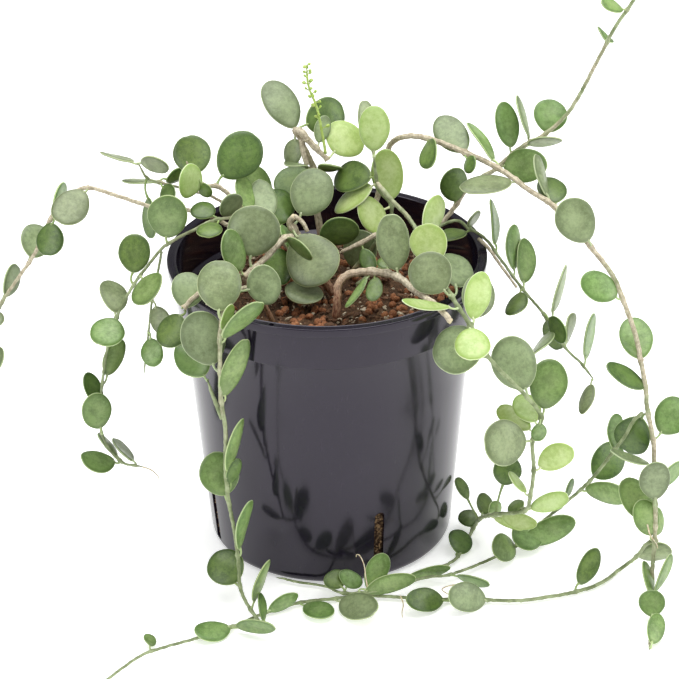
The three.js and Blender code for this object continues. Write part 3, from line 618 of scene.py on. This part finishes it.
def pot_material():
    """Glossy black moulded plastic: a violet cast, faint flow lines, dust and fine scratches."""
    g = Graph("pot_plastic")
    dust = g.rise(g.noise(38, 6, 0.7), 0.5, 0.78)
    colour = g.lay(tint("#15101e"), tint("#322d3b"), dust, 0.2)
    rubbed = g.rise(g.noise(900, 3, 0.7, g.stretched(1, 1, 0.06)), 0.62, 0.74)
    colour = g.lay(colour, tint("#5d5966"), rubbed, 0.12)
    smears = g.noise(26, 4, 0.6, g.stretched(1, 1, 0.35))
    g.set(
        Base_Color=colour,
        Roughness=g.plus(g.rise(smears, 0.3, 0.75, 0.1, 0.17), g.times(dust, 0.07)),
        Specular_IOR_Level=0.46,
        Specular_Tint=(0.95, 0.9, 1, 1),
    )
    flow = g.noise(14, 2, 0.4, g.stretched(1, 1, 0.3))
    g.bump(g.plus(g.times(flow, 0.8), g.times(g.noise(700, 2), 0.01)), 0.0016, 0.2)
    return g.material


def soil_material(name, dark, light, flecks):
    """One kind of grain in the mix, with painted shade darkening the hollows of its bumps, and dust and
    flecks on it.
    """
    g = Graph(name)
    own, _, _ = g.split(g.cells(140, "Color"))
    grain = g.noise(700, 5, 0.7)
    # Painted shade: the colour follows the bump's height and is darker in its hollows.
    colour = g.mix(g.rise(grain, 0.3, 0.7), tint(dark), tint(light))
    colour = g.mix(g.rise(own, 0.3, 1, 0, 0.5), colour, tint(dark))
    colour = g.lay(colour, tint(flecks), g.rise(g.noise(2300, 2), 0.6, 0.7), 0.5)
    g.set(Base_Color=colour, Roughness=g.rise(grain, 0.3, 0.7, 0.75, 0.95), Specular_IOR_Level=0.3)
    g.bump(grain, 0.0006, 0.8)
    return g.material


# The pot


def lathe(profile, steps):
    """Points and faces of a profile of (radius, height) turned about Z. Its ends close on the axis."""
    points, faces = [], []
    angles = np.linspace(0, 2 * math.pi, steps, endpoint=False)
    for radius, height in profile:
        ring = np.stack([radius * np.cos(angles), radius * np.sin(angles), np.full(steps, height)], 1)
        points.append(ring if radius > 0 else ring[:1])
    starts = np.cumsum([0] + [len(p) for p in points])
    for row in range(len(points) - 1):
        a, b = starts[row], starts[row + 1]
        for i in range(steps):
            j = (i + 1) % steps
            if len(points[row]) == 1:
                faces.append([a, b + j, b + i])
            elif len(points[row + 1]) == 1:
                faces.append([a + i, a + j, b])
            else:
                faces.append([a + i, a + j, b + j, b + i])
    return np.concatenate(points), faces


def arc(radius, height, size, start, end, steps):
    """Points of a rounded corner about (radius, height), from one angle to another, in degrees."""
    angles = np.radians(np.linspace(start, end, steps + 1))
    return [[radius + size * math.cos(a), height + size * math.sin(a)] for a in angles]


def lip_ridges(outer, inner):
    """The lip's flat top, with fine raised rings that run round it."""
    rings, ring_height, ring_width = 3, 0.28, 0.8
    points = []
    for i in range(rings):
        middle = outer - (i + 0.8) * (outer - inner) / (rings + 0.6)
        for shift, rise in [(ring_width / 2, -ring_height), (ring_width / 5, 0), (-ring_width / 5, 0)]:
            points.append([middle + shift, POT_HEIGHT + rise])
        points.append([middle - ring_width / 2, POT_HEIGHT - ring_height])
    return points


def pot_profile():
    """The pot's section, from the middle of its underside up, over the lip and down the inside."""
    band_foot = POT_HEIGHT - BAND_HEIGHT
    lip_foot = POT_HEIGHT - LIP_HEIGHT
    corner_radius = BODY_FOOT_RADIUS - FOOT_CORNER
    lip_inner = RIM_RADIUS - LIP_WIDTH
    edge = 0.7
    outside = [[0, 0], *arc(corner_radius, FOOT_CORNER, FOOT_CORNER, -90, -4, 8)]
    for share in (0.25, 0.5, 0.75):
        height = FOOT_CORNER + share * (band_foot - FOOT_CORNER)
        outside.append([BODY_FOOT_RADIUS + share * (BODY_TOP_RADIUS - BODY_FOOT_RADIUS), height])
    outside += [
        [BODY_TOP_RADIUS, band_foot - 1.2],
        *arc(BODY_TOP_RADIUS + 1.2, band_foot - 0.6, 0.9, 180, 100, 3),
        *arc(BAND_RADIUS - 0.8, band_foot + 1, 0.8, -80, 0, 4),
        [BAND_RADIUS + 0.9, lip_foot - 1],
        *arc(BAND_RADIUS + 1.9, lip_foot - 1, 0.9, 180, 90, 3),
        *arc(RIM_RADIUS - edge, lip_foot + edge, edge, -90, 0, 4),
        *arc(RIM_RADIUS - edge, POT_HEIGHT - edge, edge, 0, 80, 4),
    ]
    inside = [
        *arc(lip_inner + edge, POT_HEIGHT - edge, edge, 100, 180, 4),
        [BAND_RADIUS - WALL, band_foot + 1],
        [BODY_TOP_RADIUS - WALL, band_foot - 1],
        [corner_radius + FOOT_CORNER - WALL, FOOT_CORNER + FLOOR_THICKNESS],
        [corner_radius - WALL, FLOOR_THICKNESS],
        [0, FLOOR_THICKNESS],
    ]
    return outside + lip_ridges(RIM_RADIUS - edge, lip_inner + edge) + inside


def cutter(name, points, faces):
    """A hidden solid to cut the pot with."""
    mesh = bpy.data.meshes.new(name)
    mesh.from_pydata((np.array(points) * MM).tolist(), [], faces)
    solid = bmesh.new()
    solid.from_mesh(mesh)
    bmesh.ops.recalc_face_normals(solid, faces=solid.faces)
    solid.to_mesh(mesh)
    solid.free()
    return new_object(name, mesh)


def prism(outline, low, high):
    """A flat outline of (a, b) pairs, given depth along a third direction."""
    count = len(outline)
    points = [[low, a, b] for a, b in outline] + [[high, a, b] for a, b in outline]
    faces = [[i, (i + 1) % count, (i + 1) % count + count, i + count] for i in range(count)]
    return points, [*faces, list(range(count))[::-1], list(range(count, 2 * count))]


def about_z(points, degrees):
    """The points turned about Z."""
    a = math.radians(degrees)
    turn = np.array([[math.cos(a), -math.sin(a), 0], [math.sin(a), math.cos(a), 0], [0, 0, 1]])
    return np.array(points) @ turn.T


def slot_cutter(angle):
    """A drain slot with a round top, from just over the foot's corner."""
    half = SLOT_WIDTH / 2
    reach = 15
    outline = [[-half, FOOT_CORNER], [half, FOOT_CORNER], *arc(0, SLOT_TOP - half, half, 0, 180, 10)]
    points, faces = prism(outline, BODY_FOOT_RADIUS - reach, BODY_FOOT_RADIUS + reach)
    return cutter("slot_cutter", about_z(points, angle), faces)


def hanger_cutter(angle):
    """A small round hole down through the lip."""
    sides, reach = 16, 9
    outline = arc(RIM_RADIUS - HANGER_INSET, 0, HANGER_HOLE_RADIUS, 0, 360 - 360 / sides, sides - 1)
    points, faces = prism(outline, POT_HEIGHT - reach, POT_HEIGHT + reach)
    upright = np.roll(points, -1, axis=1)
    return cutter("hanger_cutter", about_z(upright, angle), faces)


def apply_modifiers(made):
    """Makes a piece's modifiers part of its mesh."""
    bpy.context.view_layer.update()
    graph = bpy.context.evaluated_depsgraph_get()
    mesh = bpy.data.meshes.new_from_object(made.evaluated_get(graph))
    made.modifiers.clear()
    made.data = mesh


def make_pot():
    """The whole pot, turned, then cut for its drain slots and hanger holes."""
    skin = Skin()
    skin.add(*lathe(pot_profile(), POT_SIDES))
    pot = skin.build("pot_shell", pot_material(), "pot", ["pot"])
    cutters = [slot_cutter(a) for a in SLOT_ANGLES] + [hanger_cutter(a) for a in HANGER_ANGLES]
    for tool in cutters:
        cut = pot.modifiers.new("cut", "BOOLEAN")
        cut.object = tool
        cut.operation = "DIFFERENCE"
        cut.solver = "EXACT"
    apply_modifiers(pot)
    for tool in cutters:
        bpy.data.objects.remove(tool)
    pot.data.shade_smooth()
    pot.data.set_sharp_from_angle(angle=math.radians(SHARP_EDGE))


# The soil


def make_soil_bed(rng):
    """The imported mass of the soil, with a rough top."""
    sides, rings = 120, 30
    inner = BODY_TOP_RADIUS - WALL - 2 * GAP
    foot = BODY_FOOT_RADIUS - WALL - 2 * GAP - 1
    low = FLOOR_THICKNESS + GAP
    edge_height = SOIL_TOP - 4
    profile = [[0, low], [foot - 5, low], [foot, FOOT_CORNER + FLOOR_THICKNESS]]
    for share in (0.1, 0.2, 0.6, 1):
        height = FOOT_CORNER + share * (edge_height - FOOT_CORNER)
        profile.append([foot + share * (inner - foot), height])
    profile += [[inner * (1 - i / rings), SOIL_BED] for i in range(1, rings + 1)]
    points, faces = lathe(profile, sides)
    top = points[:, 2] > SOIL_BED - 0.5
    points[top, 2] += rng.uniform(-1.2, 1.4, top.sum())
    points[~top, :2] *= 1 - rng.uniform(0, 0.006, ((~top).sum(), 1))
    skin = Skin()
    skin.add(points, faces)
    skin.build("soil_bed", soil_material("soil_bed", "#2c1c12", "#6d5038", "#b99e7a"), "soil", ["soil"])


def grain_shape(rng, size, flatness, roundness=0):
    """A lump with a broken surface, or a smoother one the nearer roundness is to 1: points and faces."""
    lump = bmesh.new()
    bmesh.ops.create_icosphere(lump, subdivisions=2 if roundness else 1, radius=1)
    points = np.array([corner.co for corner in lump.verts])
    faces = [[corner.index for corner in face.verts] for face in lump.faces]
    lump.free()
    unevenness = 0.23 * (1 - roundness)
    points *= rng.uniform(0.95 - unevenness, 0.95 + unevenness, (len(points), 1))
    points *= np.array(size) / 2 * np.array([1, 1, flatness])
    spin = Matrix.Rotation(rng.uniform(0, 2 * math.pi), 3, Vector(unit(rng.normal(size=3))))
    return points @ np.array(spin).T, faces


def make_grains(name, material, rng, count, length, breadth, flatness, sunk, roundness=0):
    """Grains of one kind, strewn over the soil."""
    skin = Skin()
    reach = BODY_TOP_RADIUS - WALL - 5
    proud = 0.35
    for _ in range(count):
        size = [rng.uniform(*length), rng.uniform(*breadth), rng.uniform(*breadth)]
        points, faces = grain_shape(rng, size, flatness, roundness)
        away, angle = reach * math.sqrt(rng.uniform(0, 1)), rng.uniform(0, 2 * math.pi)
        height = SOIL_BED + rng.uniform(-sunk, max(size) * proud)
        skin.add(points + [away * math.cos(angle), away * math.sin(angle), height], faces)
    made = skin.build(name, material, "soil")
    if not roundness:
        made.data.shade_flat()


def make_slot_grains(rng, material):
    """Grains that show in the drain slots."""
    skin = Skin()
    grains_per_slot = 90
    taper = (BODY_TOP_RADIUS - BODY_FOOT_RADIUS) / (POT_HEIGHT - BAND_HEIGHT)
    for angle in SLOT_ANGLES:
        for _ in range(grains_per_slot):
            size = rng.uniform(0.9, 2.4, 3)
            points, faces = grain_shape(rng, size, 0.9)
            height = rng.uniform(FOOT_CORNER + 1.2, SLOT_TOP - 1.6)
            wall = BODY_FOOT_RADIUS + (height - FOOT_CORNER) * taper
            across = rng.uniform(-1, 1) * (SLOT_WIDTH / 2 - 0.9)
            centre = np.array([wall - rng.uniform(1.2, 2.6), across, height])
            skin.add(about_z(points + centre, angle), faces)
    made = skin.build("slot_soil", material, "soil")
    made.data.shade_flat()


def make_soil():
    """The soil: its packed mass, the loose grains on it and those in the slots."""
    rng = np.random.default_rng(11)
    make_soil_bed(rng)
    bark = soil_material("bark_grain", "#3a2518", "#997358", "#d6bb98")
    clay = soil_material("clay_grain", "#7a4a30", "#bd8259", "#e0bb97")
    pale = soil_material("pale_grain", "#b8a684", "#ece2cc", "#fbf7ec")
    make_grains("bark_grains", bark, rng, 800, (3, 9.5), (2, 4.5), 0.55, 1.5)
    make_grains("clay_grains", clay, rng, 330, (4, 7), (3.8, 6.2), 0.9, 0.3, 0.75)
    make_grains("pale_grains", pale, rng, 380, (1.4, 4.8), (1.2, 3), 0.8, 0.1)
    make_grains("fine_grains", bark, rng, 900, (1, 2.4), (0.8, 1.8), 0.9, 0.5)
    make_slot_grains(rng, soil_material("slot_grain", "#2b1b11", "#b08e66", "#e6d3ae"))


# The stems


def sampled(route, step):
    """Points about a step apart along a route, with the place of each in route points."""
    fine = np.linspace(0, len(route) - 1, 24 * (len(route) - 1) + 1)
    points = np.array([route_point(route, place) for place in fine])
    lengths = np.concatenate([[0], np.cumsum(np.linalg.norm(np.diff(points, axis=0), axis=1))])
    even = np.linspace(0, lengths[-1], max(2, round(lengths[-1] / step)) + 1)
    places = np.interp(even, lengths, fine)
    return np.array([route_point(route, place) for place in places]), places, even


def tube(skin, centres, radii, sides, values, ridge=0.0):
    """A closed tube along the centres, whose section has ridges. values gives each ring's stored row."""
    along = np.gradient(centres, axis=0)
    along /= np.linalg.norm(along, axis=1)[:, None]
    across = unit(np.cross(along[0], [0.3, 0.2, 1]))
    turns = np.linspace(0, 2 * math.pi, sides, endpoint=False)
    section = 1 + ridge * np.cos(STEM_RIDGES * turns)
    rows, stored = [], []
    for centre, direction, radius, value in zip(centres, along, radii, values):
        across = unit(across - direction * np.dot(across, direction))
        other = np.cross(direction, across)
        reach = radius * section
        rows.append(centre + np.outer(reach * np.cos(turns), across) + np.outer(reach * np.sin(turns), other))
        stored += [[value[0], turn / (2 * math.pi), value[1]] for turn in turns]
    count = len(rows)
    faces = []
    for row in range(count - 1):
        for i in range(sides):
            j = (i + 1) % sides
            faces.append([row * sides + i, row * sides + j, (row + 1) * sides + j, (row + 1) * sides + i])
    faces.append(list(range(sides))[::-1])
    faces.append([(count - 1) * sides + i for i in range(sides)])
    skin.add(np.concatenate(rows), faces, bark=stored)


def stem_radii(vine, places, distances, rng):
    """A stem's thickness along its length: it tapers, swells at its nodes and is a little uneven."""
    swelling, swelling_reach = 0.28, 1.5
    blunt_tip, point_length = 0.35, 9
    radii = vine.radius * vine.slenderness * (1.02 - 0.34 * distances / distances[-1])
    for leaf in vine.leaves:
        at = np.interp(leaf[0], places, distances)
        radii += vine.radius * swelling * np.exp(-(((distances - at) / swelling_reach) ** 2))
    radii *= 1 + rng.uniform(-0.05, 0.05, len(radii))
    if vine.tip_wood < CUT_WOODINESS:
        left = distances[-1] - distances
        radii *= np.clip(blunt_tip + left / point_length, 0, 1)
    return radii


def make_stem(name, vine, material):
    """One stem, with a pale end where it is cut."""
    rng = np.random.default_rng(len(name) * 101 + len(vine.leaves))
    skin = Skin("bark")
    centres, places, distances = sampled(vine.route, 1.9)
    radii = stem_radii(vine, places, distances, rng)
    centres = centres + rng.normal(0, 0.06 * vine.radius, centres.shape)
    share = distances / distances[-1]
    wood = vine.root_wood + (vine.tip_wood - vine.root_wood) * share
    pale = np.zeros(len(share))
    pale[-1] = vine.tip_wood >= CUT_WOODINESS
    tube(skin, centres, radii, 14, list(zip(wood, pale)), ridge=0.05)
    skin.build("stem_" + name, material, "stem", ["vine_" + name])


def make_stubs(material):
    """The short bare branches, with their pale cut ends."""
    skin = Skin("bark")
    for radius, route in STUBS:
        centres, _, distances = sampled(route, 1.5)
        cut = [(1, 0)] * (len(centres) - 1) + [(1, 1)]
        tube(skin, centres, radius * (1.05 - 0.2 * distances / distances[-1]), 12, cut, ridge=0.05)
    skin.build("cut_stubs", material, "stem")


def make_tendrils(material):
    """The thin pale curls."""
    skin = Skin("bark")
    for route in TENDRILS:
        centres, _, distances = sampled(route, 0.9)
        radii = 0.5 - 0.25 * distances / distances[-1]
        tube(skin, centres, radii, 8, [(0, 1)] * len(centres))
    skin.build("tendrils", material, "stem")


# The leaves


BLADE_RINGS = [0.0, 0.2, 0.4, 0.58, 0.73, 0.84, 0.91, 0.955, 0.98, 0.995]
BLADE_SIDES = 32


def blade_faces():
    """Faces of a blade: an upper and a lower fan of rings that share the margin. The stored order is
    the two centres, the upper rings, the lower rings and the margin."""
    rings = len(BLADE_RINGS) - 1
    faces = []
    for side in (0, 1):
        starts = [2 + (side * rings + ring) * BLADE_SIDES for ring in range(rings)]
        starts.append(2 + 2 * rings * BLADE_SIDES)
        for i in range(BLADE_SIDES):
            j = (i + 1) % BLADE_SIDES
            strip = [[side, starts[0] + i, starts[0] + j]]
            strip += [[near + i, far + i, far + j, near + j] for near, far in zip(starts, starts[1:])]
            faces += [face[::-1] for face in strip] if side else strip
    return faces


def blade_rows():
    """(distance to the margin, angle, side) of each stored point of a blade."""
    angles = np.linspace(0, 2 * math.pi, BLADE_SIDES, endpoint=False)
    rows = [[0, 0, 1], [0, 0, -1]]
    for side in (1, -1):
        rows += [[ring, angle, side] for ring in BLADE_RINGS[1:] for angle in angles]
    rows += [[1, angle, 0] for angle in angles]
    return np.array(rows)


BLADE_FACES = blade_faces()
BLADE_ROWS = blade_rows()


def blade_points(at, rng):
    """A thick round blade between its base and tip: rounded margin, a slight cup, bend and twist."""
    ring, angle, side = BLADE_ROWS.T
    length = np.linalg.norm(at.tip - at.base)
    breadth = at.breadth
    along = 0.5 - 0.5 * np.cos(angle)
    across = 0.5 * np.sin(angle)
    broad_end = rng.uniform(0.0, 0.09)
    across *= 1 + broad_end * (along - 0.5) - 0.2 * (1 - along) ** 5
    wobbles = ((0.012, 3), (0.008, 5))
    across *= 1 + sum(depth * np.sin(waves * angle + rng.uniform(0, 6)) for depth, waves in wobbles)
    notch = rng.uniform(-0.012, 0.02)
    along = along - notch * np.exp(-((across / 0.09) ** 2)) * (along > 0.5)
    middle = 0.52
    x = ring * across * breadth
    y = (middle + ring * (along - middle)) * length
    thickness = 1.3 + 0.048 * breadth
    rounding = 0.14
    edge = np.clip((ring - 1) / rounding + 1, 0, 1)
    half = thickness / 2 * (1 - 0.3 * ring**2) * np.sqrt(1 - edge**2)
    cup = rng.uniform(-0.1, 0.04)
    bend = rng.uniform(-0.09, 0.05)
    twist = rng.uniform(-0.05, 0.05)
    u, v = x / breadth, y / length - 0.5
    lift = breadth * (cup * 4 * u**2 + bend * (4 * v**2 - 1) + twist * 4 * u * v)
    lift += 0.12 * np.sin(9 * u + rng.uniform(0, 6)) * np.sin(7 * v + rng.uniform(0, 6))
    axis = unit(at.tip - at.base)
    points = at.base + np.outer(x, at.side) + np.outer(y, axis)
    points += np.outer(lift + side * half, at.face)
    blade = np.stack([y / length, 2 * u, ring], 1)
    return points, blade, side < 0


def petiole_points(at, radius):
    """Centres and radii of the hooked stalk, from inside the stem to inside the blade."""
    axis = unit(at.tip - at.base)
    start = at.stem + at.out * radius * 0.4
    end = at.base + axis * 1.6
    hook = start + at.out * np.linalg.norm(end - start) * 0.55 - at.face * 0.5
    t = np.linspace(0, 1, 8)[:, None]
    centres = (1 - t) ** 2 * start + 2 * t * (1 - t) * hook + t**2 * end
    girth = 0.62 + 0.012 * at.breadth
    radii = girth * (1.18 - 0.45 * np.sin(np.pi * t[:, 0]) + 0.05 * t[:, 0])
    return centres, radii


def add_leaf(skin, at, radius, rng):
    """One leaf: its blade and its stalk."""
    chance = rng.uniform(0, 1)
    points, blade, under = blade_points(at, rng)
    kind = np.stack([np.full(len(points), chance), under, np.zeros(len(points))], 1)
    skin.add(points, BLADE_FACES, blade=blade, kind=kind)
    stalk = Skin("bark")
    centres, radii = petiole_points(at, radius)
    tube(stalk, centres, radii, 10, [(0, 0)] * len(centres))
    skin.add(stalk.points[0], stalk.faces, blade=[0, 0, 0.3], kind=[chance, 0, 1])


def make_leaves(name, vine, materials):
    """The leaves of a stem: each broad one a piece of its own, the small ones a piece for each tone."""
    small = {}
    for number, leaf in enumerate(vine.leaves, 1):
        rng = np.random.default_rng(number * 977 + sum(map(ord, name)))
        at = leaf_frame(vine, leaf)
        tone = leaf[4]
        broad = at.breadth >= BROAD_LEAF
        own_skin = Skin("blade", "kind")
        skin = own_skin if broad else small.setdefault(tone, own_skin)
        add_leaf(skin, at, vine.radius, rng)
        if broad:
            node = f"leaf_{name}_{number}"
            skin.build("broad_" + node, materials[tone], "leaf_" + tone, [node])
    for tone, skin in small.items():
        skin.build(f"leaves_{name}_{tone}", materials[tone], "leaf_" + tone)


def make_buds(material):
    """The flower spike's tiny round buds, on short stalks, crowded near its tip."""
    rng = np.random.default_rng(5)
    route = VINES["flower_spike"].route
    skin = Skin("bark")
    for i in range(BUDS):
        share = i / (BUDS - 1)
        centre = route_point(route, (len(route) - 1) * (0.3 + 0.7 * share**0.7))
        turn = i * GOLDEN_TURN
        out = unit(np.array([math.cos(turn), math.sin(turn), 0.5]))
        reach = rng.uniform(1.8, 4.2) * (1.15 - 0.5 * share)
        size = rng.uniform(0.8, 1.25)
        away = [0, 0.6 * reach, reach - 0.7 * size, reach, reach + size, reach + 1.5 * size]
        girths = [0.3, 0.28, 0.5 * size, size, 0.85 * size, 0.15]
        tube(skin, centre + np.outer(away, out), girths, 9, [(0, 0)] * len(away))
    skin.build("flower_buds", material, "leaf_lime")


def make_plant():
    """The whole plant: its stems, leaves, cut stubs, tendrils and flower buds."""
    stem = stem_material()
    materials = {tone: leaf_material(tone) for tone in LEAF_TONES}
    spike = tissue_material("flower_spike", "#9bb94f", "#c0d478", 0.55)
    for name, vine in VINES.items():
        make_stem(name, vine, spike if name == "flower_spike" else stem)
        make_leaves(name, vine, materials)
    make_stubs(stem)
    make_tendrils(tissue_material("tendril", "#c9b994", "#ece2c8", 0.6))
    make_buds(spike)


# The studio


def make_floor():
    """A plain pale floor."""
    g = Graph("studio_floor")
    g.set(
        Base_Color=g.mix(g.noise(3, 2), tint("#fbfbfb"), tint("#ffffff")),
        Roughness=0.9,
        Specular_IOR_Level=0.1,
        Emission_Color=(1, 1, 1, 1),
        Emission_Strength=0.45,
    )
    mesh = bpy.data.meshes.new("studio_floor")
    half = 6
    corners = [(half * a, half * b, 0) for a, b in ((-1, -1), (1, -1), (1, 1), (-1, 1))]
    mesh.from_pydata(corners, [], [(0, 1, 2, 3)])
    mesh.materials.append(g.material)
    new_object("studio_floor", mesh)


def make_softbox(name, place, width, height, watts):
    """A rectangular area light that faces the plant."""
    middle = Vector((0, 0, 0.12))
    data = bpy.data.lights.new(name, "AREA")
    data.shape = "RECTANGLE"
    data.size = width
    data.size_y = height
    data.energy = watts
    lamp = new_object(name, data)
    lamp.location = place
    lamp.rotation_euler = (middle - Vector(place)).to_track_quat("-Z", "Y").to_euler()


def make_lights():
    """A white room with a large soft light overhead and one at each side."""
    world = bpy.data.worlds.new("studio")
    world.use_nodes = True
    background = world.node_tree.nodes["Background"]
    background.inputs["Color"].default_value = (1, 1, 1, 1)
    background.inputs["Strength"].default_value = 0.34
    bpy.context.scene.world = world
    make_softbox("overhead", (0.1, 0.15, 1.6), 1.8, 1.5, 30)
    make_softbox("front_left", (-1.2, -1.2, 1.0), 0.7, 1.2, 10)
    make_softbox("right_side", (1.4, -0.3, 0.7), 0.6, 1.1, 7)


def make_camera():
    """The camera, aimed at its target from the front and above."""
    tilt = Matrix.Rotation(math.radians(90 - CAMERA_ELEVATION), 4, "X")
    place = tilt @ Matrix.Rotation(math.radians(CAMERA_ROLL), 4, "Z")
    place.translation = Vector(CAMERA_TARGET) + place.to_3x3() @ Vector((0, 0, CAMERA_DISTANCE))
    data = bpy.data.cameras.new("camera")
    data.lens = CAMERA_LENS
    data.clip_end = 50
    camera = new_object("camera", data)
    camera.matrix_world = place
    bpy.context.scene.camera = camera


make_camera()
make_pot()
make_soil()
make_plant()
make_floor()
make_lights()
bpy.context.scene.view_settings.view_transform = "Standard"
